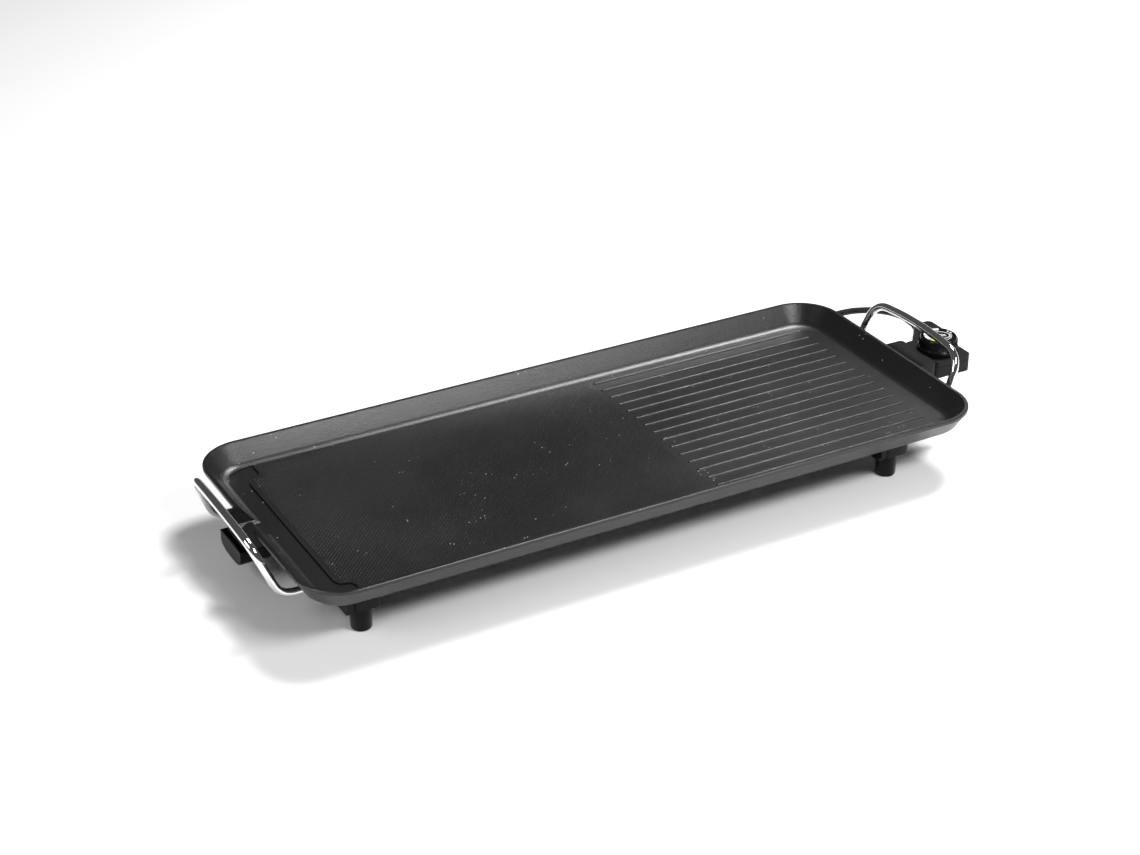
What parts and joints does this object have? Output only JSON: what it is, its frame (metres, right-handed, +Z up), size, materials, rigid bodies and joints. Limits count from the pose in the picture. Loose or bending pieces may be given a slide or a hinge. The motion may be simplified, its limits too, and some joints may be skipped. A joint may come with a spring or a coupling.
{
  "type": "electric griddle",
  "caption": "Long rectangular table griddle with a rimmed non-stick plate, wire handles, short feet, drip cup and plug-in thermostat control with cord.",
  "frame": {"origin": "on the table plane, under the middle of the griddle's own bounding box, cord left out", "axes": "+X along the plate towards the thermostat, +Y towards the back where the cord leaves, +Z up"},
  "size_m": [0.8062, 0.3627, 0.0925],
  "materials": {
    "coating": "cast aluminium with black speckled non-stick coating",
    "chrome": "polished chrome-plated steel wire",
    "plastic": "black heat-resistant moulding, fine grain",
    "knob_plastic": "glossy black moulding",
    "dial": "printed dial face, white and green marks",
    "rubber": "black rubber",
    "cord_rubber": "black flexible cord sheath",
    "element": "heat-tinted tubular element sheath",
    "steel": "zinc-plated steel",
    "sheet": "aluminised sheet steel",
    "brass": "plain brass",
    "ceramic": "unglazed steatite",
    "nickel": "nickel-plated pin"
  },
  "bodies": {
    "griddle": {"griddle_plate": "coating", "heating_element": "element", "element_strap_1": "sheet", "shield_screw_1": "steel", "element_strap_2": "sheet", "shield_screw_2": "steel", "element_strap_3": "sheet", "shield_screw_3": "steel", "heat_shield": "sheet", "foot_bracket_left_front": "plastic", "foot_left_front": "rubber", "bracket_screw_left_front": "steel", "foot_bracket_left_back": "plastic", "foot_left_back": "rubber", "bracket_screw_left_back": "steel", "foot_bracket_right_front": "plastic", "foot_right_front": "rubber", "bracket_screw_right_front": "steel", "foot_bracket_right_back": "plastic", "foot_right_back": "rubber", "bracket_screw_right_back": "steel", "handle_left": "chrome", "handle_right": "chrome", "cup_hanger": "plastic", "terminal_pin_front": "nickel", "terminal_pin_back": "nickel", "socket_guard": "plastic"},
    "thermostat": {"control_base": "plastic", "control_cover": "plastic", "contact_sleeve_front": "brass", "contact_sleeve_back": "brass", "sensing_probe": "nickel", "switch_block": "ceramic", "bimetal_blade": "brass", "terminal_block": "ceramic", "cord_relief": "rubber", "mains_lead": "cord_rubber", "cord_coil": "cord_rubber", "coil_tie": "plastic", "plug_body": "rubber", "plug_pin_front": "nickel", "plug_pin_back": "nickel"},
    "knob": {"knob": "knob_plastic", "knob_shaft": "steel", "dial_cap": "dial"},
    "drip_cup": {"drip_cup": "plastic"}
  },
  "joints": [
    {"name": "thermostat_pull", "type": "slide", "parent": "griddle", "child": "thermostat", "axis": [1, 0, 0], "range_m": [0, 0.045]},
    {"name": "knob_turn", "type": "hinge", "parent": "thermostat", "child": "knob", "pos_m": [0.3781, -0.001, 0.06], "axis": [0, 0, -1], "range_deg": [0, 280]},
    {"name": "drip_cup_slide", "type": "slide", "parent": "griddle", "child": "drip_cup", "axis": [-1, 0, 0], "range_m": [0, 0.06]}
  ]
}
